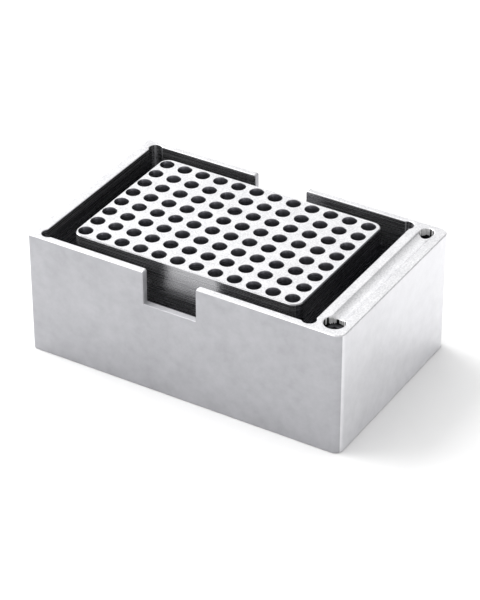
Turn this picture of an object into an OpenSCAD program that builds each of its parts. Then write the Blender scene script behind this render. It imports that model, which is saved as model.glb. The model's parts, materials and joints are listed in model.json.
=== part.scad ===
// Interchangeable 96-well block for a thermal cycler or block heater.
// A machined body holds a well insert in a deep pocket, so that the skirt of a
// 96-well plate drops into the channel around the insert.
// On the ledge at one end, a captive, spring-raised screw holds the block down on its
// heater, and a groove leads the cable of a temperature probe away from its well.
// Frame: +Z up, origin at the centre of the base, +X along the twelve columns.

/* [Body] */
// Length of the body, along the twelve columns
body_l = 148.5; // [147:0.5:156]
// Width of the body
body_w = 92.5; // [92:0.5:98]
// Height of the body, which is also the height of the insert's top
body_h = 57; // [55:1:64]
// Radius of the two vertical corners at the screw end
end_corner_r = 4; // [1:0.5:7]
// Radius of the two vertical corners at the other end
far_corner_r = 1; // [0.5:0.25:3]
// Bevel that breaks the outer top and bottom edges
edge_break = 0.4; // [0.2:0.1:0.8]

/* [Plate pocket] */
// Length of the pocket that takes the plate's skirt
pocket_l = 128; // [128:0.2:129]
// Width of the pocket
pocket_w = 86; // [85.8:0.2:86.4]
// Depth of the pocket below the top
pocket_depth = 30; // [26:1:32]
// Wall between the pocket and the end away from the screws
far_wall = 5; // [3:0.5:5.5]
// Diameter of the round relief in each corner of the pocket
relief_d = 6; // [5:0.5:7]
// Distance from the relief's centre to each of its two walls
relief_inset = 2; // [1.5:0.1:2]

/* [Finger notches] */
// Width of the notch in each long wall
notch_w = 25; // [15:1:40]
// Depth of the notches below the top
notch_depth = 15.5; // [8:0.5:20]
// Radius of each notch's top corners
notch_lip_r = 1; // [0.3:0.1:3]

/* [Well insert] */
// Length of the insert
insert_l = 108; // [107.5:0.5:112]
// Width of the insert
insert_w = 72; // [71:0.5:76]
// Radius of the insert's vertical corners
insert_corner_r = 4.5; // [1:0.5:6]
// Offset of the well grid from the insert's centre, along X
well_shift = -0.5; // [-0.5:0.25:0.5]
// Diameter of a well's mouth
well_mouth_d = 6.1; // [5:0.1:6.5]
// Diameter of a well where its round tip begins
well_tip_d = 2.8; // [2:0.1:4]
// Depth of a well
well_depth = 16; // [10:1:17]
// Thickness of the heat-conducting foil under the insert
foil_t = 0.25; // [0.2:0.05:0.5]

/* [Ledge] */
// Width of the round-bottomed groove between the screw hole and the probe well
groove_w = 7; // [4:0.5:7]
// Depth of the groove
groove_depth = 1.4; // [1:0.1:2]
// Diameter of the screw hole
guide_d = 9; // [8.9:0.1:10]
// Distance from the front of the body to the screw hole's centre
guide_inset = 8.25; // [7.5:0.25:12]
// Diameter of the probe well
probe_d = 6; // [6:0.1:7]
// Depth of the probe well, down to its cone
probe_depth = 40; // [25:1:48]
// Distance from the rear of the body to the probe well's centre
probe_inset = 6; // [5.5:0.25:12]

/* [Hold-down screw] */
// Diameter of the screw's shank
screw_d = 5; // [4.5:0.1:5]
// Length of the screw under its head
screw_l = 45; // [42:1:46]
// Depth of the raised screw's head below the top
head_depth = 3.4; // [1:0.2:4]
// Distance that the screw travels from raised to pushed down
screw_travel = 10; // [8:1:11]
// Height of the web that carries the spring
web_t = 6; // [5:0.5:8]

/* [Hidden] */
$fn = 64;

// Overrun of a cut past the face that it opens on
cut = 1;
// Radial gap between a pin or thread and the hole that it fills
fit_gap = 0.02;

// Pocket and insert share one centre, off the body's own centre
pocket_x = -body_l / 2 + far_wall + pocket_l / 2;
ledge_l = body_l - far_wall - pocket_l;
floor_z = body_h - pocket_depth;
insert_z = floor_z + foil_t;
insert_h = body_h - insert_z;

// Wells, on the pitch that all 96-well plates share
pitch = 9;
well_x = pocket_x + well_shift;
columns = 12;
rows = 8;
well_rim = 0.2;

// Insert fasteners: M4 cap screws from below, on the pitch of the wells
insert_screw_x = 4 * pitch;
insert_screw_y = 3 * pitch;
insert_screw_d = 4;
insert_screw_l = 25;
insert_head_d = 7;
insert_head_h = 4;
insert_hole_d = 4.5;
insert_bore_d = 8.4;
insert_grip = 15;
insert_seat_z = floor_z - insert_grip;
insert_tap_depth = 12;
insert_washer_d = 7.4;
insert_washer_t = 0.9;
insert_key = 3;

// Dowels: half in the body's floor, half in the insert
dowel_d = 4;
dowel_l = 14;
dowel_x = 5 * pitch;
dowel_end = 0.5;

// Holes of the ledge
guide_x = body_l / 2 - ledge_l / 2;
guide_y = -body_w / 2 + guide_inset;
probe_y = body_w / 2 - probe_inset;
drill_point = 118;

// Hold-down screw: an M5 cap screw over a web inside its guide hole
spring_pressed_h = 5;
screw_head_d = 8.4;
screw_head_h = 5;
screw_key = 4;
screw_key_depth = 2.5;
screw_point = 0.6;
screw_seat_z = body_h - head_depth - screw_head_h;
washer_d = screw_head_d;
washer_t = 1;
washer_hole_d = screw_d + 0.16;
web_hole_d = screw_d + 0.5;
web_top_z = screw_seat_z - washer_t - screw_travel - spring_pressed_h;
clip_bore_d = 10;
clip_bore_h = web_top_z - web_t;
clip_d = 9;
clip_t = 0.7;
clip_gap = 0.1;
clip_groove_d = screw_d - 0.8;
clip_snap = 0.6;
clip_z = clip_bore_h - clip_gap - clip_t;

// Spring: round wire, wound between the web and the washer
wire_d = 0.6;
coil_d = 7.1;
coil_turns = 6;
coil_steps = 20;
wire_sides = 6;
coil_gap = 0.05;
spring_z = web_top_z + wire_d / 2 + coil_gap;
spring_top_z = screw_seat_z - washer_t - wire_d / 2 - coil_gap;

aluminium = [0.86, 0.87, 0.89];
bright_aluminium = [0.93, 0.93, 0.94];
graphite = [0.22, 0.22, 0.24];
steel = [0.66, 0.67, 0.69];
dark_steel = [0.30, 0.30, 0.32];
spring_steel = [0.55, 0.56, 0.58];

// ---- helpers ----

// Quarter of a round post with both ends bevelled
module bevelled_quarter(r, h, b) {
    rotate_extrude(angle = 90)
        polygon([[0, 0], [r - b, 0], [r, b], [r, h - b], [r - b, h], [0, h]]);
}

// Bar along X: width w, height h, all four long edges bevelled
module bevelled_bar(l, w, h, b) {
    rotate([90, 0, 90]) linear_extrude(l)
        polygon([
            [-w / 2 + b, 0], [w / 2 - b, 0], [w / 2, b], [w / 2, h - b],
            [w / 2 - b, h], [-w / 2 + b, h], [-w / 2, h - b], [-w / 2, b]
        ]);
}

// End of a block that reaches +X by r, between its two quarter posts
module bevelled_end(r, w, h, b) {
    translate([0, w / 2 - r, 0]) rotate([90, 0, 0]) linear_extrude(w - 2 * r)
        polygon([[0, 0], [r - b, 0], [r, b], [r, h - b], [r - b, h], [0, h]]);
    translate([0, w / 2 - r, 0]) bevelled_quarter(r, h, b);
    translate([0, -w / 2 + r, 0]) rotate(-90) bevelled_quarter(r, h, b);
}

// Block on its centre with upright round corners and bevelled top and bottom edges
module bevelled_block(l, w, h, r_far, r_end, b) {
    translate([-l / 2 + r_far, 0, 0]) bevelled_bar(l - r_far - r_end, w, h, b);
    translate([l / 2 - r_end, 0, 0]) bevelled_end(r_end, w, h, b);
    translate([-l / 2 + r_far, 0, 0]) rotate(180) bevelled_end(r_far, w, h, b);
}

// Places its children at all four (+-x, +-y) about the pocket's centre
module at_four(x, y) {
    for (sx = [-1, 1], sy = [-1, 1])
        translate([pocket_x + sx * x, sy * y, 0]) children();
}

// Places its children at the dowel on that side: -1 is the left and 1 is the right
module at_dowel(side) {
    translate([pocket_x + side * dowel_x, 0, 0]) children();
}

// Places its children at the hold-down screw
module at_guide() {
    translate([guide_x, guide_y, 0]) children();
}

// Upright bore or shank of diameter d from z_low to z_high
module upright(d, z_low, z_high) {
    translate([0, 0, z_low]) cylinder(d = d, h = z_high - z_low);
}

// Socket-head cap screw, point down, with the underside of its head at z = 0
module cap_screw(d, l, head_d, head_h, key, key_depth, bevel) {
    difference() {
        rotate_extrude()
            polygon([
                [0, -l], [d / 2 - bevel, -l], [d / 2, -l + bevel], [d / 2, 0],
                [head_d / 2, 0], [head_d / 2, head_h - bevel],
                [head_d / 2 - bevel, head_h], [0, head_h]
            ]);
        translate([0, 0, head_h - key_depth])
            cylinder(d = key / cos(30), h = key_depth + cut, $fn = 6);
    }
}

// ---- block ----

// Pocket with a round relief in each corner
module pocket_cut() {
    translate([pocket_x - pocket_l / 2, -pocket_w / 2, floor_z])
        cube([pocket_l, pocket_w, pocket_depth + cut]);
    at_four(pocket_l / 2 - relief_inset, pocket_w / 2 - relief_inset)
        upright(relief_d, floor_z, body_h + cut);
}

// Outline of a finger notch seen from the front, with round lips at its top corners
module notch_outline() {
    translate([-notch_w / 2, -notch_depth]) square([notch_w, notch_depth + cut]);
    difference() {
        translate([-notch_w / 2 - notch_lip_r, -notch_lip_r])
            square([notch_w + 2 * notch_lip_r, notch_lip_r + cut]);
        for (side = [-1, 1])
            translate([side * (notch_w / 2 + notch_lip_r), -notch_lip_r]) circle(notch_lip_r);
    }
}

// One cut through both long walls
module notch_cut() {
    translate([pocket_x, body_w / 2 + cut, body_h]) rotate([90, 0, 0])
        linear_extrude(body_w + 2 * cut) notch_outline();
}

// Round-bottomed groove from the screw hole to the probe well
module groove_cut() {
    groove_r = (pow(groove_w / 2, 2) + pow(groove_depth, 2)) / (2 * groove_depth);
    translate([guide_x, probe_y, body_h - groove_depth + groove_r]) rotate([90, 0, 0])
        cylinder(r = groove_r, h = probe_y - guide_y);
}

// Guide, web hole and clip recess of the hold-down screw
module guide_cut() {
    at_guide() {
        upright(guide_d, web_top_z, body_h + cut);
        upright(web_hole_d, 0, body_h);
        upright(clip_bore_d, -cut, clip_bore_h);
    }
}

// Blind hole with a drilled point
module probe_well_cut() {
    point_h = probe_d / 2 / tan(drill_point / 2);
    translate([guide_x, probe_y, body_h - probe_depth]) {
        cylinder(d = probe_d, h = probe_depth + cut);
        translate([0, 0, -point_h]) cylinder(d1 = 0, d2 = probe_d, h = point_h);
    }
}

// Holes under the insert for its screws and dowels
module insert_fixing_cuts() {
    at_four(insert_screw_x, insert_screw_y) {
        upright(insert_hole_d, 0, body_h);
        upright(insert_bore_d, -cut, insert_seat_z);
    }
    for (side = [-1, 1]) at_dowel(side)
        upright(dowel_d + 2 * fit_gap, floor_z - dowel_l / 2 - dowel_end, body_h);
}

module block_body() {
    color(aluminium) difference() {
        bevelled_block(body_l, body_w, body_h, far_corner_r, end_corner_r, edge_break);
        pocket_cut();
        notch_cut();
        groove_cut();
        guide_cut();
        probe_well_cut();
        insert_fixing_cuts();
    }
}

// ---- insert and what holds it ----

// Tapered well with a round tip and a small bevel at its mouth, its mouth at z = 0
module well_cut() {
    tip_r = well_tip_d / 2;
    mouth_r = well_mouth_d / 2;
    rotate_extrude() {
        polygon([
            [0, cut], [mouth_r + well_rim + cut, cut], [mouth_r + well_rim, 0],
            [mouth_r, -well_rim], [tip_r, -well_depth + tip_r], [0, -well_depth + tip_r]
        ]);
        intersection() {
            translate([0, -well_depth + tip_r]) circle(tip_r);
            translate([0, -well_depth]) square([tip_r, tip_r]);
        }
    }
}

module well_insert() {
    color(bright_aluminium) difference() {
        translate([pocket_x, 0, insert_z])
            bevelled_block(insert_l, insert_w, insert_h,
                           insert_corner_r, insert_corner_r, edge_break);
        for (column = [0 : columns - 1], row = [0 : rows - 1])
            translate([
                well_x + (column - (columns - 1) / 2) * pitch,
                (row - (rows - 1) / 2) * pitch,
                body_h
            ]) well_cut();
        at_four(insert_screw_x, insert_screw_y)
            upright(insert_screw_d + 2 * fit_gap, insert_z - cut, floor_z + insert_tap_depth);
        for (side = [-1, 1]) at_dowel(side)
            upright(dowel_d + 2 * fit_gap, insert_z - cut, floor_z + dowel_l / 2 + dowel_end);
    }
}

// Soft graphite sheet that fills the joint under the insert
module thermal_foil() {
    margin = 1;
    color(graphite) difference() {
        translate([pocket_x - insert_l / 2 + margin, -insert_w / 2 + margin, floor_z])
            cube([insert_l - 2 * margin, insert_w - 2 * margin, foil_t]);
        at_four(insert_screw_x, insert_screw_y) upright(insert_hole_d, 0, body_h);
        for (side = [-1, 1]) at_dowel(side) upright(insert_hole_d, 0, body_h);
    }
}

// Pin that sets the insert's place on the pocket floor
module dowel(side) {
    color(steel) at_dowel(side)
        translate([0, 0, floor_z - dowel_l / 2]) rotate_extrude()
            polygon([
                [0, 0], [dowel_d / 2 - dowel_end, 0], [dowel_d / 2, dowel_end],
                [dowel_d / 2, dowel_l - dowel_end], [dowel_d / 2 - dowel_end, dowel_l], [0, dowel_l]
            ]);
}

// Places its children under the head of an insert screw: x_side is -1 on the left
// and 1 on the right, y_side is -1 at the front and 1 at the rear
module at_insert_screw(x_side, y_side) {
    translate([
        pocket_x + x_side * insert_screw_x,
        y_side * insert_screw_y,
        insert_seat_z - insert_washer_t
    ]) children();
}

// Cap screw from below, its head up inside the counterbore
module insert_screw(x_side, y_side) {
    color(dark_steel) at_insert_screw(x_side, y_side) rotate([180, 0, 0])
        cap_screw(insert_screw_d, insert_screw_l, insert_head_d, insert_head_h,
                  insert_key, insert_head_h / 2, screw_point);
}

// Split lock washer over that head
module lock_washer(x_side, y_side) {
    split_w = 0.8;
    color(spring_steel) at_insert_screw(x_side, y_side) linear_extrude(insert_washer_t)
        difference() {
            circle(d = insert_washer_d);
            circle(d = insert_hole_d);
            translate([0, -split_w / 2]) square([insert_washer_d, split_w]);
        }
}

// ---- hold-down screw ----

// M5 cap screw with a groove for the clip
module hold_down_screw() {
    color(dark_steel) at_guide() difference() {
        translate([0, 0, screw_seat_z])
            cap_screw(screw_d, screw_l, screw_head_d, screw_head_h,
                      screw_key, screw_key_depth, screw_point);
        difference() {
            upright(screw_d + cut, clip_z - fit_gap, clip_z + clip_t + fit_gap);
            upright(clip_groove_d, 0, body_h);
        }
    }
}

// Washer between the screw's head and the spring
module thrust_washer() {
    color(steel) at_guide() difference() {
        upright(washer_d, screw_seat_z - washer_t, screw_seat_z);
        upright(washer_hole_d, 0, body_h);
    }
}

// Snap-on clip that keeps the screw from leaving through the top
module retaining_clip() {
    mouth_w = clip_groove_d - clip_snap;
    color(dark_steel) at_guide()
        translate([0, 0, clip_z]) linear_extrude(clip_t)
            difference() {
                circle(d = clip_d);
                circle(d = clip_groove_d + 2 * fit_gap);
                translate([0, -mouth_w / 2]) square([clip_d, mouth_w]);
            }
}

// Ring of points round the wire's centre line at turn t of the coil
function coil_ring(t) = [
    for (k = [0 : wire_sides - 1])
        let (
            a = 360 * k / wire_sides,
            r = coil_d / 2 + wire_d / 2 * cos(a),
            z = spring_z + (spring_top_z - spring_z) * t / coil_turns + wire_d / 2 * sin(a)
        )
        [r * cos(360 * t), r * sin(360 * t), z]
];

// Helical spring between the web and the thrust washer
module spring() {
    rings = coil_turns * coil_steps;
    points = [for (i = [0 : rings]) each coil_ring(i / coil_steps)];
    walls = [
        for (i = [0 : rings - 1], k = [0 : wire_sides - 1])
            let (
                a = i * wire_sides + k,
                b = i * wire_sides + (k + 1) % wire_sides
            )
            [a, a + wire_sides, b + wire_sides, b]
    ];
    first_cap = [for (k = [0 : wire_sides - 1]) k];
    last_cap = [for (k = [wire_sides - 1 : -1 : 0]) rings * wire_sides + k];
    color(spring_steel) at_guide()
        polyhedron(points = points, faces = concat(walls, [first_cap, last_cap]));
}

block_body();
well_insert();
thermal_foil();
dowel(-1);  // left_dowel
dowel(1);  // right_dowel
insert_screw(-1, -1);  // front_left_screw
insert_screw(1, -1);  // front_right_screw
insert_screw(-1, 1);  // rear_left_screw
insert_screw(1, 1);  // rear_right_screw
lock_washer(-1, -1);  // front_left_washer
lock_washer(1, -1);  // front_right_washer
lock_washer(-1, 1);  // rear_left_washer
lock_washer(1, 1);  // rear_right_washer
hold_down_screw();
thrust_washer();
spring();
retaining_clip();
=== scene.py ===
"""Looks of an interchangeable 96-well heating block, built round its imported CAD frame.

Metres throughout, in the CAD frame: +Z up, +X along the twelve columns towards the screw ledge.
"""
import json
import math

import bmesh
import bpy
from mathutils import Matrix, Vector


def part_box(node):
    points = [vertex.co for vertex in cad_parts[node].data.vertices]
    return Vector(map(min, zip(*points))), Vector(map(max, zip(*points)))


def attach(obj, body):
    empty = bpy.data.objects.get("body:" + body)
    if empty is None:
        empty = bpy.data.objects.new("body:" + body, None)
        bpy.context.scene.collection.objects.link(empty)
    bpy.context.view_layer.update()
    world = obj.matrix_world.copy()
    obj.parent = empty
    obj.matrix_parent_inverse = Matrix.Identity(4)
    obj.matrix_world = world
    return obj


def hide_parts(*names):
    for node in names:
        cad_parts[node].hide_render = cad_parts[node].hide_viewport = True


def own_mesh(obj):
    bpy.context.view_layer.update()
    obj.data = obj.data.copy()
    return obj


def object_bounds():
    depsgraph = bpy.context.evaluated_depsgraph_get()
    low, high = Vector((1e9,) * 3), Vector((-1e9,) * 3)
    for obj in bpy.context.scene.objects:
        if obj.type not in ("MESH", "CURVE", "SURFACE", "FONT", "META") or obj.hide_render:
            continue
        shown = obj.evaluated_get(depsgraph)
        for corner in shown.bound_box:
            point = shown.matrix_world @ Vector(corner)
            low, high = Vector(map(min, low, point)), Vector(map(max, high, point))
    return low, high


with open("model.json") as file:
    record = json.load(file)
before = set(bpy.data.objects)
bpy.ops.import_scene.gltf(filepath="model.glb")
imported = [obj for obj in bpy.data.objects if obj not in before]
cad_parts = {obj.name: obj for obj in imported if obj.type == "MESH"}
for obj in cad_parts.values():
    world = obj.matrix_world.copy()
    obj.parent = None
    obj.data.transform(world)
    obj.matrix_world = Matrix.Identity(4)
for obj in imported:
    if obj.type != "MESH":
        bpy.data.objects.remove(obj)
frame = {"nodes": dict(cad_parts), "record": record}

MM = 0.001
CAD_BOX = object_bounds()

# ---- places that the frame gives ----

BLOCK_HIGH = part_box("block_body")[1]
INSERT_LOW, INSERT_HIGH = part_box("well_insert")
TOP_Z = BLOCK_HIGH.z
FLOOR_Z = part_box("thermal_foil")[0].z
JOINTS = {joint["name"]: joint for joint in frame["record"]["behaviour"]["joints"]}
MOUNTS = {mount["name"]: mount for mount in frame["record"]["mounts"]}
GUIDE = Vector(JOINTS["screw_turn"]["pos_m"])
GUIDE_RADIUS = 4.5 * MM     # the hold-down screw's guide hole, which has no mount of its own
PROBE = Vector(MOUNTS["probe_well"]["pos_m"])
PROBE_RADIUS = MOUNTS["probe_well"]["dims"]["r_mm"] * MM
CORNERS = ("front_left", "front_right", "rear_left", "rear_right")

# ---- edges and finishes ----

RIM_RADIUS = 0.45 * MM      # rounding that breaks the block's sharp rims
BURR_RADIUS = 0.12 * MM     # rounding of the edges of small pieces
RIM_ANGLE = math.radians(60)        # edges that turn by more than this are rounded
FLAT_ANGLE = math.radians(0.5)      # faces that turn by less than this are merged
SMOOTH_ANGLE = math.radians(35)     # edges that turn by less than this are shaded smooth
WELD = 0.001 * MM           # points closer than this are one point


# ---- node trees ----

class Finish:
    """A material's node tree, with one call for each kind of node that the finishes use."""

    def __init__(self, name, metallic, roughness, colour):
        self.material = bpy.data.materials.new(name)
        self.material.use_nodes = True
        self.material.diffuse_color = (*colour, 1)
        self.tree = self.material.node_tree
        self.shader = self.tree.nodes["Principled BSDF"]
        self.shader.inputs["Metallic"].default_value = metallic
        self.shader.inputs["Roughness"].default_value = roughness
        self.shader.inputs["Base Color"].default_value = (*colour, 1)
        self.place = self.add("ShaderNodeTexCoord").outputs["Object"]

    def add(self, kind, inputs=(), **settings):
        """A node of that kind, with its settings, and its inputs given as values or as outputs to link."""
        node = self.tree.nodes.new(kind)
        for name, value in settings.items():
            setattr(node, name, value)
        for key, value in dict(inputs).items():
            if isinstance(value, bpy.types.NodeSocket):
                self.tree.links.new(value, node.inputs[key])
            else:
                node.inputs[key].default_value = value
        return node

    def stretched(self, x, y, z):
        """The place on the object, scaled along each axis."""
        return self.add("ShaderNodeMapping", {"Vector": self.place, "Scale": (x, y, z)}).outputs[0]

    def height(self):
        """The place's height, in metres."""
        return self.add("ShaderNodeSeparateXYZ", {"Vector": self.place}).outputs["Z"]

    def noise(self, vector, scale, detail=3.0, roughness=0.55):
        """Cloudy noise from 0 to 1."""
        inputs = {"Vector": vector, "Scale": scale, "Detail": detail, "Roughness": roughness}
        return self.add("ShaderNodeTexNoise", inputs).outputs["Fac"]

    def span(self, value, low, high, to_low=0.0, to_high=1.0):
        """value from low..high carried over to to_low..to_high, and held at the ends."""
        inputs = {0: value, 1: low, 2: high, 3: to_low, 4: to_high}
        return self.add("ShaderNodeMapRange", inputs).outputs[0]

    def math(self, operation, a, b):
        """A sum, product or other operation on two numbers."""
        return self.add("ShaderNodeMath", {0: a, 1: b}, operation=operation).outputs[0]

    def blend(self, share, first, second):
        """Colour that goes from first to second as share goes from 0 to 1."""
        inputs = {0: share, 6: self.rgba(first), 7: self.rgba(second)}
        return self.add("ShaderNodeMix", inputs, data_type="RGBA").outputs[2]

    @staticmethod
    def rgba(colour):
        return colour if isinstance(colour, bpy.types.NodeSocket) else (*colour, 1)

    def set(self, **outputs):
        """Links each output to the shader's socket of that name, with _ for a space."""
        for name, output in outputs.items():
            self.tree.links.new(output, self.shader.inputs[name.replace("_", " ")])

    def bump(self, height, strength, distance):
        """A bump that follows height."""
        inputs = {"Height": height, "Strength": strength, "Distance": distance}
        return self.add("ShaderNodeBump", inputs).outputs[0]


# ---- finishes ----

def blasted_aluminium(name, dark, bright, roughness):
    """Outside of the block: a fine grey grain, with faint clouds."""
    finish = Finish(name, 1.0, roughness, bright)
    clouds = finish.noise(finish.place, 220, 4, 0.65)
    stains = finish.noise(finish.place, 45, 3)
    grain = finish.noise(finish.place, 1600, 2, 0.7)
    tone = finish.math("ADD", finish.math("MULTIPLY", clouds, 0.6), finish.math("MULTIPLY", stains, 0.4))
    tone = finish.span(tone, 0.35, 0.65)
    rough = finish.span(clouds, 0.3, 0.7, roughness - 0.05, roughness + 0.05)
    finish.set(Base_Color=finish.blend(tone, dark, bright), Roughness=rough,
               Normal=finish.bump(grain, 0.25, 0.02 * MM))
    return finish.material


def ground_top():
    """Flat tops: painted brighter than the sides, as faces that catch the light, and finely speckled."""
    finish = Finish("top_aluminium", 1.0, 0.35, (0.80, 0.80, 0.82))
    speckle = finish.noise(finish.place, 1400, 2, 0.7)
    clouds = finish.noise(finish.place, 120, 3)
    tone = finish.math("ADD", speckle, finish.math("MULTIPLY", clouds, 0.3))
    # painted light: these greys are set above the sides' greys so the tops read as lit
    colour = finish.blend(finish.span(tone, 0.45, 0.85), (0.54, 0.54, 0.555), (0.79, 0.79, 0.80))
    rough = finish.span(speckle, 0.3, 0.7, 0.30, 0.46)
    finish.set(Base_Color=colour, Roughness=rough, Normal=finish.bump(speckle, 0.2, 0.02 * MM))
    return finish.material


def side_milled(name, lit_greys, shaded_greys):
    """Walls left by the side of an end mill: fine level marks, with painted shade that darkens them below the
    top.
    """
    finish = Finish(name, 1.0, 0.18, (0.4, 0.4, 0.42))
    marks = finish.noise(finish.stretched(9, 9, 3200), 1.0, 3, 0.6)
    bands = finish.noise(finish.stretched(25, 25, 900), 1.0, 3)
    depth = finish.math("SUBTRACT", TOP_Z, finish.height())
    # painted shade: the colour goes from the lighter greys near the top to the darker greys below, darker
    # with depth, as shade falls in a recess
    depth_shade = finish.span(depth, 3 * MM, 16 * MM)
    tone = finish.span(finish.math("ADD", marks, finish.math("MULTIPLY", bands, 0.5)), 0.45, 1.1)
    unshaded = finish.blend(tone, *[(grey, grey, grey + 0.01) for grey in lit_greys])
    painted_shade = finish.blend(tone, *[(grey, grey, grey + 0.01) for grey in shaded_greys])
    rough = finish.span(marks, 0.3, 0.7, 0.20, 0.32)
    along = finish.add("ShaderNodeTangent", direction_type="RADIAL", axis="Z").outputs[0]
    finish.shader.inputs["Anisotropic"].default_value = 0.9
    finish.shader.inputs["Anisotropic Rotation"].default_value = 0.25
    finish.set(Base_Color=finish.blend(depth_shade, unshaded, painted_shade), Roughness=rough, Tangent=along,
               Normal=finish.bump(marks, 0.8, 0.12 * MM))
    return finish.material


def pocket_floor():
    """Floor of the pocket, with the overlapping sweeps of an end mill."""
    finish = Finish("floor_aluminium", 1.0, 0.3, (0.5, 0.5, 0.52))
    sweep = finish.add("ShaderNodeTexWave", {"Vector": finish.place, "Scale": 260, "Distortion": 6,
                                             "Detail": 2, "Detail Scale": 30}, wave_type="RINGS")
    colour = finish.blend(sweep.outputs["Fac"], (0.42, 0.42, 0.44), (0.56, 0.56, 0.58))
    rough = finish.span(sweep.outputs["Fac"], 0.0, 1.0, 0.24, 0.38)
    finish.set(Base_Color=colour, Roughness=rough, Normal=finish.bump(sweep.outputs["Fac"], 0.2, 0.02 * MM))
    return finish.material


def reamed_bore():
    """Walls of drilled and reamed holes: bright, with fine rings round the bore."""
    finish = Finish("bore_aluminium", 1.0, 0.2, (0.6, 0.6, 0.62))
    rings = finish.noise(finish.stretched(90, 90, 2600), 1.0, 2)
    colour = finish.blend(rings, (0.50, 0.50, 0.53), (0.72, 0.72, 0.74))
    rough = finish.span(rings, 0.3, 0.7, 0.14, 0.28)
    finish.set(Base_Color=colour, Roughness=rough, Normal=finish.bump(rings, 0.3, 0.015 * MM))
    return finish.material


def mouth_with_painted_glints():
    """Walls of the ledge's two holes: painted highlight streaks near the top, and painted shade below."""
    finish = Finish("mouth_aluminium", 1.0, 0.7, (0.85, 0.85, 0.87))
    streaks = finish.noise(finish.stretched(900, 900, 30), 1.0, 2)
    depth = finish.math("SUBTRACT", TOP_Z, finish.height())
    unshaded = finish.span(streaks, 0.35, 0.65, 2.4 * MM, 3.6 * MM)
    painted_shade = finish.span(finish.math("SUBTRACT", depth, unshaded), -0.15 * MM, 0.25 * MM)
    # painted highlights: streaks of near white between near black stand in for reflections on the hole's wall
    bright = finish.blend(finish.span(streaks, 0.44, 0.54), (0.04, 0.04, 0.04), (0.98, 0.98, 0.98))
    # painted shade: near black below the streaked band, for the deep hole
    finish.set(Base_Color=finish.blend(painted_shade, bright, (0.02, 0.02, 0.022)),
               Normal=finish.bump(streaks, 0.4, 0.05 * MM))
    return finish.material


def tapered_well():
    """Inside of the wells: painted shade makes them darker than the top, with fine rings."""
    finish = Finish("well_aluminium", 1.0, 0.3, (0.3, 0.3, 0.32))
    rings = finish.noise(finish.stretched(120, 120, 2600), 1.0, 2)
    # painted shade: the wells' greys are kept dark, as shade inside the deep holes
    colour = finish.blend(rings, (0.22, 0.22, 0.24), (0.34, 0.34, 0.36))
    rough = finish.span(rings, 0.3, 0.7, 0.25, 0.4)
    finish.set(Base_Color=colour, Roughness=rough, Normal=finish.bump(rings, 0.3, 0.015 * MM))
    return finish.material


def turned_steel(name, colour, dark, roughness):
    """Steel turned on a lathe: fine rings and a few darker patches."""
    finish = Finish(name, 1.0, roughness, colour)
    rings = finish.noise(finish.stretched(200, 200, 6000), 1.0, 2)
    patches = finish.noise(finish.place, 500, 3)
    tone = finish.math("ADD", finish.math("MULTIPLY", rings, 0.5), finish.math("MULTIPLY", patches, 0.5))
    shade = finish.blend(finish.span(tone, 0.3, 0.7), dark, colour)
    rough = finish.span(tone, 0.3, 0.7, roughness * 0.8, roughness * 1.25)
    finish.set(Base_Color=shade, Roughness=rough, Normal=finish.bump(rings, 0.2, 0.01 * MM))
    return finish.material


def graphite():
    """Pressed graphite foil: dark, with a flaky sheen."""
    finish = Finish("graphite_foil", 0.3, 0.5, (0.05, 0.05, 0.055))
    flakes = finish.add("ShaderNodeTexVoronoi", {"Vector": finish.place, "Scale": 1500}).outputs["Distance"]
    colour = finish.blend(flakes, (0.03, 0.03, 0.033), (0.09, 0.09, 0.095))
    rough = finish.span(flakes, 0.0, 0.8, 0.35, 0.6)
    finish.set(Base_Color=colour, Roughness=rough, Normal=finish.bump(flakes, 0.3, 0.02 * MM))
    return finish.material


def studio_floor():
    """Plain pale table."""
    finish = Finish("studio_floor", 0.0, 0.9, (0.8, 0.8, 0.8))
    fibre = finish.noise(finish.place, 60, 2)
    finish.set(Base_Color=finish.blend(fibre, (0.89, 0.89, 0.89), (0.91, 0.91, 0.91)))
    return finish.material


# ---- pieces ----

def mesh_object(name, mesh):
    """A new object that shows mesh."""
    piece = bpy.data.objects.new(name, mesh)
    bpy.context.scene.collection.objects.link(piece)
    return piece


def smooth(mesh):
    """Smooth shading with creases at the real edges."""
    mesh.polygons.foreach_set("use_smooth", [True] * len(mesh.polygons))
    mesh.set_sharp_from_angle(angle=SMOOTH_ANGLE)


def is_groove_end(edge):
    """Whether an edge borders the small step where the groove stops at the probe well.

    The step is too small to be rounded, so its edges stay sharp.
    """
    beside, below, slack = 1 * MM, 2 * MM, 0.05 * MM    # the groove is 1.4 mm deep
    return all(abs(vert.co.x - PROBE.x) < PROBE_RADIUS + beside
               and abs(vert.co.y - PROBE.y) < slack
               and vert.co.z > TOP_Z - below for vert in edge.verts)


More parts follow.
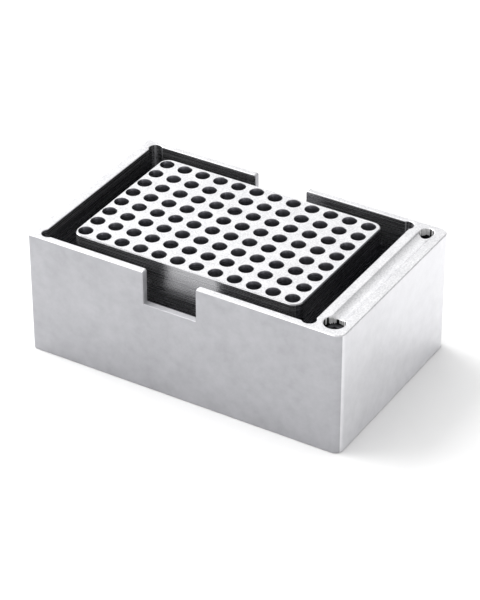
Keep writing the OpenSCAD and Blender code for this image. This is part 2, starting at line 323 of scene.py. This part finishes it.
def finished_copy(node, name, body, finishes, finish_of, rim_radius):
    """A CAD node's own shape with its flat faces merged and its sharp rims rounded, in several finishes.

    finish_of(centre, normal) gives a face's place in finishes. The copy stands for the node.
    """
    shape = bmesh.new()
    shape.from_mesh(frame["nodes"][node].data)
    bmesh.ops.remove_doubles(shape, verts=shape.verts, dist=WELD)
    bmesh.ops.dissolve_limit(shape, angle_limit=FLAT_ANGLE, verts=shape.verts, edges=shape.edges)
    for face in shape.faces:
        face.material_index = finish_of(face.calc_center_median(), face.normal)
    if rim_radius:
        rims = [edge for edge in shape.edges
                if edge.calc_face_angle(0) > RIM_ANGLE and not is_groove_end(edge)]
        bmesh.ops.bevel(shape, geom=rims, offset=rim_radius, offset_type="OFFSET", segments=3,
                        profile=0.5, affect="EDGES", clamp_overlap=False, material=-1)
        low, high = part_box(node)
        for vert in shape.verts:
            vert.co = Vector(min(max(at, least), most) for at, least, most in zip(vert.co, low, high))
    mesh = bpy.data.meshes.new(name)
    shape.to_mesh(mesh)
    shape.free()
    smooth(mesh)
    for finish in finishes:
        mesh.materials.append(finish)
    piece = mesh_object(name, mesh)
    piece.modifiers.new("even shading", "WEIGHTED_NORMAL").keep_sharp = True
    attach(piece, body)
    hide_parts(node)


# ---- which finish goes on which face ----

FACES_UP = 0.7              # a face whose normal rises by more than this looks up
LEVEL = 0.9                 # and above this it is level
WALL_SLOPE = 0.5            # a face whose normal rises or falls by less than this is a wall
FACES_ACROSS = 0.5          # a wall whose normal's X is beyond this looks along X
FACES_END = 0.85            # beyond this a face belongs to the screw end, not to a long side
TOP_BAND = 3 * MM           # the tops and the groove lie this close to the top
LONG_WALL = 3 * MM          # the long walls are a little thicker than this
OUTWARD = 4 * MM            # a step of this length from an outer face leads out of the block
BORE_MARGIN = 0.3 * MM      # a face this far outside a bore's radius still belongs to it
INSERT_BAND = 1.4 * MM      # the insert's sides, round corners included, are this close to its box
INSERT_CORNER = 0.7         # half way round the insert's corners, its sides turn into its ends
TOP_MARGIN = 0.1 * MM       # the insert's level faces this close to the top are its top


def is_near(centre, axis, radius):
    """Whether a face lies on or inside an upright bore."""
    return (centre.xy - axis.xy).length < radius + BORE_MARGIN


OUTSIDE, END, NOTCH, TOP, WALL, FLOOR, BORE, MOUTH = range(8)


def block_finish(centre, normal):
    """Which finish a face of the block has, from its place and the way it looks."""
    upright = abs(normal.z) < WALL_SLOPE
    in_long_wall = abs(centre.y) > BLOCK_HIGH.y - LONG_WALL
    if normal.z > FACES_UP and centre.z > TOP_Z - TOP_BAND:
        return TOP
    if normal.z > FACES_UP:
        return NOTCH if in_long_wall else FLOOR
    if upright and (is_near(centre, GUIDE, GUIDE_RADIUS) or is_near(centre, PROBE, PROBE_RADIUS)):
        return MOUTH
    ahead = centre + normal * OUTWARD
    if abs(ahead.x) > BLOCK_HIGH.x or abs(ahead.y) > BLOCK_HIGH.y or not upright:
        return END if normal.x > FACES_END else OUTSIDE
    if in_long_wall and abs(normal.x) > FACES_ACROSS:
        return NOTCH
    return WALL if centre.z > FLOOR_Z else BORE


INSERT_TOP, INSERT_SIDE, INSERT_END, WELL = range(4)


def insert_finish(centre, normal):
    """Which finish a face of the insert has."""
    if normal.z > LEVEL and centre.z > TOP_Z - TOP_MARGIN:
        return INSERT_TOP
    edge = min(centre.x - INSERT_LOW.x, INSERT_HIGH.x - centre.x,
               centre.y - INSERT_LOW.y, INSERT_HIGH.y - centre.y)
    if edge > INSERT_BAND or abs(normal.z) > LEVEL:
        return WELL
    return INSERT_END if abs(normal.x) > INSERT_CORNER else INSERT_SIDE


def block_and_insert():
    """The two machined pieces that show."""
    top = ground_top()
    # Each wall finish goes from its lighter greys near the top to its darker painted-shade greys below; the
    # insert's ends get the darkest greys, as painted shade for the deep channel beside them
    pocket_walls = side_milled("pocket_wall_aluminium", (0.22, 0.42), (0.12, 0.28))
    insert_sides = side_milled("insert_side_aluminium", (0.22, 0.50), (0.14, 0.38))
    insert_ends = side_milled("insert_end_aluminium", (0.08, 0.18), (0.04, 0.10))
    # Lit and shaded copies of the blasted finish: the long sides are painted darker as shaded faces and the
    # screw end lighter as a lit face; the notches get a lighter, rougher copy so their sill and cheeks read
    # as lit
    sides = blasted_aluminium("side_aluminium", (0.36, 0.36, 0.377), (0.44, 0.44, 0.46), 0.44)
    ends = blasted_aluminium("end_aluminium", (0.69, 0.69, 0.71), (0.78, 0.78, 0.80), 0.44)
    notches = blasted_aluminium("notch_aluminium", (0.50, 0.50, 0.52), (0.60, 0.60, 0.62), 0.7)
    finished_copy("block_body", "machined_block", "block",
                  [sides, ends, notches, top, pocket_walls, pocket_floor(), reamed_bore(), mouth_with_painted_glints()],
                  block_finish, RIM_RADIUS)
    finished_copy("well_insert", "machined_insert", "block",
                  [top, insert_sides, insert_ends, tapered_well()], insert_finish, 0)


def washers_and_clip(spring_steel, stainless_steel, black_oxide):
    """The flat stamped rings, with their edges broken."""
    def one_finish(centre, normal):
        return 0
    for corner in CORNERS:
        finished_copy(corner + "_washer", corner + "_lock_washer", "block",
                      [spring_steel], one_finish, BURR_RADIUS)
    finished_copy("thrust_washer", "turned_thrust_washer", "washer",
                  [stainless_steel], one_finish, BURR_RADIUS)
    finished_copy("retaining_clip", "stamped_clip", "screw",
                  [black_oxide], one_finish, BURR_RADIUS)


# ---- screws and spring ----

COLUMNS = 72                # faces round a screw: a whole number for each side of its hexagon
KNURL_DEPTH = 0.12          # knurled ribs, one for every two columns
THREAD_ROWS = 6             # rows for each turn of a thread
THREAD_DEPTH = 0.54         # of a thread's pitch
THREAD_FLAT = 0.15          # the larger, the wider the thread's flat crests and roots

# Thread pitch, hexagon key and the drill's cone under the socket. These are in millimetres, like
# everything else about the screws' outlines.
M5 = {"pitch": 0.8, "key": 4, "cone": 0.8}
M4 = {"pitch": 0.7, "key": 3, "cone": 0.6}


def circle(radius):
    """Outline of a plain round."""
    return lambda column: radius


def knurl(radius):
    """Outline of a knurled head."""
    return lambda column: radius - (KNURL_DEPTH if column % 2 else 0)


def hexagon(key):
    """Outline of a socket that takes a hexagon key."""
    def radius(column):
        turn = math.radians(column * 360 / COLUMNS % 60 - 30)
        return key / 2 / math.cos(turn)
    return radius


def thread(radius, pitch, z):
    """Outline of a level cut through a screw thread, which is an off-centre round."""
    depth = THREAD_DEPTH * pitch

    def outline(column):
        phase = (z / pitch - column / COLUMNS) % 1
        flank = min(max(abs(2 * phase - 1) * (1 + 2 * THREAD_FLAT) - THREAD_FLAT, 0), 1)
        return radius - depth * flank
    return outline


def thread_rows(radius, pitch, low, high):
    """Rows of a thread from one height to another, in millimetres from the head's seat."""
    step = pitch / THREAD_ROWS
    count = int((high - low) / step)
    return [(low + step * i, thread(radius, pitch, low + step * i)) for i in range(count + 1)]


def cap_screw_rows(radius, length, pitch, head_radius, head_height, key, shank_rows):
    """Heights and outlines of a socket-head cap screw, from its point to the floor of its socket.

    shank_rows gives the rows of the shank from the height where it starts.
    """
    point = pitch * 0.7                 # chamfer of the shank's end
    rim = 0.4                           # chamfer of the head's top
    plain_to, knurl_from = rim * 2, rim * 2.2
    knurl_to, plain_from = head_height - rim * 2.4, head_height - rim * 2.2
    flare, flare_depth = 0.1, 0.3       # chamfer of the socket's mouth
    socket_depth = head_height * 0.5
    rows = [(-length, circle(radius - point))]
    rows += shank_rows(-length + point)
    rows += [(0, circle(radius)), (0, circle(head_radius - rim / 2)), (rim / 2, circle(head_radius))]
    rows += [(plain_to, circle(head_radius)), (knurl_from, knurl(head_radius))]
    rows += [(knurl_to, knurl(head_radius)), (plain_from, circle(head_radius))]
    rows += [(head_height - rim, circle(head_radius)), (head_height, circle(head_radius - rim))]
    rows += [(head_height, circle(key / math.sqrt(3) + flare)), (head_height - flare_depth, hexagon(key))]
    return rows + [(head_height - socket_depth, hexagon(key))]


def lathe(name, rows, cone):
    """A closed solid from rows of (height, outline), with a drilled cone of that depth as its last floor."""
    verts = [Vector((0, 0, rows[0][0]))]
    for z, outline in rows:
        for column in range(COLUMNS):
            angle = 2 * math.pi * column / COLUMNS
            radius = outline(column)
            verts.append(Vector((radius * math.cos(angle), radius * math.sin(angle), z)))
    verts.append(Vector((0, 0, rows[-1][0] - cone)))
    faces = []
    for column in range(COLUMNS):
        after = (column + 1) % COLUMNS
        faces.append((0, 1 + after, 1 + column))
        for row in range(len(rows) - 1):
            low, high = 1 + row * COLUMNS, 1 + (row + 1) * COLUMNS
            faces.append((low + column, low + after, high + after, high + column))
        last = 1 + (len(rows) - 1) * COLUMNS
        faces.append((last + column, last + after, len(verts) - 1))
    mesh = bpy.data.meshes.new(name)
    mesh.from_pydata([vert * MM for vert in verts], [], faces)
    return mesh


def place_screw(node, mesh, body, seat, finish, upside_down=False):
    """Puts a screw's mesh where its CAD node is, with its head's seat at seat."""
    if upside_down:
        mesh.transform(Matrix.Rotation(math.pi, 4, "X"))
    mesh.transform(Matrix.Translation(seat))
    smooth(mesh)
    mesh.materials.append(finish)
    piece = mesh_object("threaded_" + node, mesh)
    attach(piece, body)
    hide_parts(node)


def hold_down_screw(finish):
    """M5 cap screw with a groove for its clip."""
    low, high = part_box("hold_down_screw")
    clip_low, clip_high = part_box("retaining_clip")
    seat = Vector((GUIDE.x, GUIDE.y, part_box("thrust_washer")[1].z))
    radius = MOUNTS["hold_down_thread"]["dims"]["r_mm"]
    groove, gap, plain = 0.42, 0.02, 0.6    # depth, play beside the clip, shank without thread
    clip = [(z - seat.z) / MM for z in (clip_low.z, clip_high.z)]

    def shank(start):
        rows = thread_rows(radius, M5["pitch"], start, clip[0] - M5["pitch"])
        rows += [(clip[0] - plain, circle(radius)), (clip[0] - gap, circle(radius))]
        rows += [(clip[0] - gap, circle(radius - groove)), (clip[1] + gap, circle(radius - groove))]
        return rows + [(clip[1] + gap, circle(radius))]

    rows = cap_screw_rows(radius, (seat.z - low.z) / MM, M5["pitch"], (high.x - low.x) / 2 / MM,
                          (high.z - seat.z) / MM, M5["key"], shank)
    place_screw("hold_down_screw", lathe("hold_down_screw", rows, M5["cone"]), "screw", seat, finish)


def insert_screws(finish):
    """Four M4 cap screws, heads down, each under its lock washer."""
    radius, thread_length, runout = 2, 20, 0.5
    for corner in CORNERS:
        node = corner + "_screw"
        low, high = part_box(node)
        seat = Vector(((low.x + high.x) / 2, (low.y + high.y) / 2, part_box(corner + "_washer")[0].z))

        def shank(start):
            rows = thread_rows(radius, M4["pitch"], start, start + thread_length)
            return rows + [(start + thread_length + runout, circle(radius))]

        rows = cap_screw_rows(radius, (high.z - seat.z) / MM, M4["pitch"], (high.x - low.x) / 2 / MM,
                              (seat.z - low.z) / MM, M4["key"], shank)
        place_screw(node, lathe(node, rows, M4["cone"]), "block", seat, finish, upside_down=True)


def ease(value):
    """0 up to 0, 1 from 1, and a smooth step between."""
    value = min(max(value, 0), 1)
    return value * value * (3 - 2 * value)


def coil_spring(finish):
    """Round wire with a closed turn at each end, from the web up to the thrust washer."""
    wire, turns, steps, sides = 0.3 * MM, 7, 60, 12
    closed_slope = 0.12     # slope of the end turns; those in the middle have 1 more
    low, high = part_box("spring")
    coil = (high.x - low.x) / 2 - wire
    count = turns * steps
    slopes = [closed_slope + ease(i / steps - 0.5) * ease(turns - 0.5 - i / steps)
              for i in range(count)]
    scale = (high.z - low.z - 2 * wire) / sum(slopes)
    z = low.z + wire
    verts, faces = [], []
    for i in range(count + 1):
        angle = 2 * math.pi * i / steps
        for k in range(sides):
            around = 2 * math.pi * k / sides
            reach = coil + wire * math.cos(around)
            verts.append((GUIDE.x + reach * math.cos(angle), GUIDE.y + reach * math.sin(angle),
                          z + wire * math.sin(around)))
        if i < count:
            z += slopes[i] * scale
            ring = i * sides
            for k in range(sides):
                after = (k + 1) % sides
                faces.append((ring + k, ring + sides + k, ring + sides + after, ring + after))
    faces.append(tuple(range(sides)))
    faces.append(tuple(count * sides + k for k in reversed(range(sides))))
    mesh = bpy.data.meshes.new("coil_spring")
    mesh.from_pydata(verts, [], faces)
    smooth(mesh)
    mesh.materials.append(finish)
    piece = mesh_object("coil_spring", mesh)
    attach(piece, "block")
    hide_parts("spring")
    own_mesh(piece)


def fasteners_and_foil():
    """Everything that holds the block together, and the foil under the insert."""
    ground = turned_steel("ground_steel", (0.62, 0.62, 0.63), (0.48, 0.48, 0.50), 0.2)
    black = turned_steel("black_oxide_steel", (0.07, 0.07, 0.075), (0.03, 0.03, 0.033), 0.4)
    spring = turned_steel("spring_steel", (0.45, 0.45, 0.47), (0.33, 0.33, 0.35), 0.28)
    stainless = turned_steel("stainless_steel", (0.62, 0.61, 0.60), (0.50, 0.49, 0.48), 0.26)
    hold_down_screw(black)
    insert_screws(black)
    coil_spring(spring)
    washers_and_clip(spring, stainless, black)
    kept = {"left_dowel": ground, "right_dowel": ground, "thermal_foil": graphite()}
    for node, finish in kept.items():
        for holder in frame["nodes"][node].material_slots:
            holder.material = finish


# ---- stage, light and camera ----

def stage():
    """A plain pale table."""
    reach = 6.0
    mesh = bpy.data.meshes.new("table")
    corners = [(-reach, -reach, 0), (reach, -reach, 0), (reach, reach, 0), (-reach, reach, 0)]
    mesh.from_pydata(corners, [], [(0, 1, 2, 3)])
    mesh.materials.append(studio_floor())
    mesh_object("table", mesh)


def sky(level, glow, towards, spread):
    """Soft light from all round, with a glow that fades out from one side: the smaller spread, the wider."""
    world = bpy.data.worlds.new("studio")
    bpy.context.scene.world = world
    world.use_nodes = True
    tree = world.node_tree
    background = tree.nodes["Background"]
    background.inputs["Color"].default_value = (1, 1, 1, 1)

    def node(kind, operation, *inputs):
        made = tree.nodes.new(kind)
        made.operation = operation
        for socket, value in zip(made.inputs, inputs):
            if isinstance(value, bpy.types.NodeSocket):
                tree.links.new(value, socket)
            else:
                socket.default_value = value
        return made

    place = tree.nodes.new("ShaderNodeTexCoord").outputs["Generated"]
    facing = node("ShaderNodeVectorMath", "DOT_PRODUCT", place, Vector(towards).normalized()).outputs["Value"]
    ahead = node("ShaderNodeMath", "MAXIMUM", facing, 0.0).outputs[0]
    shape = node("ShaderNodeMath", "POWER", ahead, spread).outputs[0]
    strength = node("ShaderNodeMath", "MULTIPLY_ADD", shape, glow, level).outputs[0]
    tree.links.new(strength, background.inputs["Strength"])


LAMP_TARGET = Vector((0, 0, 0.03))      # about the middle of the block


def panel(name, place, size, power):
    """A soft box that faces the object."""
    light = bpy.data.lights.new(name, "AREA")
    light.shape = "RECTANGLE"
    light.size, light.size_y = size
    light.energy = power
    lamp = bpy.data.objects.new(name, light)
    lamp.location = place
    lamp.rotation_mode = "QUATERNION"
    lamp.rotation_quaternion = (LAMP_TARGET - Vector(place)).to_track_quat("-Z", "Y")
    bpy.context.scene.collection.objects.link(lamp)


def camera():
    """A long lens that looks down on the front right corner."""
    azimuth, elevation = math.radians(31.0), math.radians(33.4)
    distance = 1.059
    lens = 151.1
    off_centre = Vector((1.1, -1.2, -4.0)) * MM
    aim = (CAD_BOX[0] + CAD_BOX[1]) / 2 + off_centre
    back = Vector((math.sin(azimuth) * math.cos(elevation),
                   -math.cos(azimuth) * math.cos(elevation),
                   math.sin(elevation)))
    data = bpy.data.cameras.new("camera")
    data.lens = lens
    data.sensor_width = 36
    eye = bpy.data.objects.new("camera", data)
    eye.location = aim + back * distance
    eye.rotation_mode = "QUATERNION"
    eye.rotation_quaternion = (-back).to_track_quat("-Z", "Y")
    bpy.context.scene.collection.objects.link(eye)
    bpy.context.scene.camera = eye


camera()
block_and_insert()
fasteners_and_foil()
stage()
sky(level=0.75, glow=1.0, towards=(-0.7, 0.1, 0.7), spread=2)
panel("key", place=(-1.4, -0.1, 1.2), size=(1.8, 1.8), power=34)
bpy.context.scene.view_settings.view_transform = "Standard"
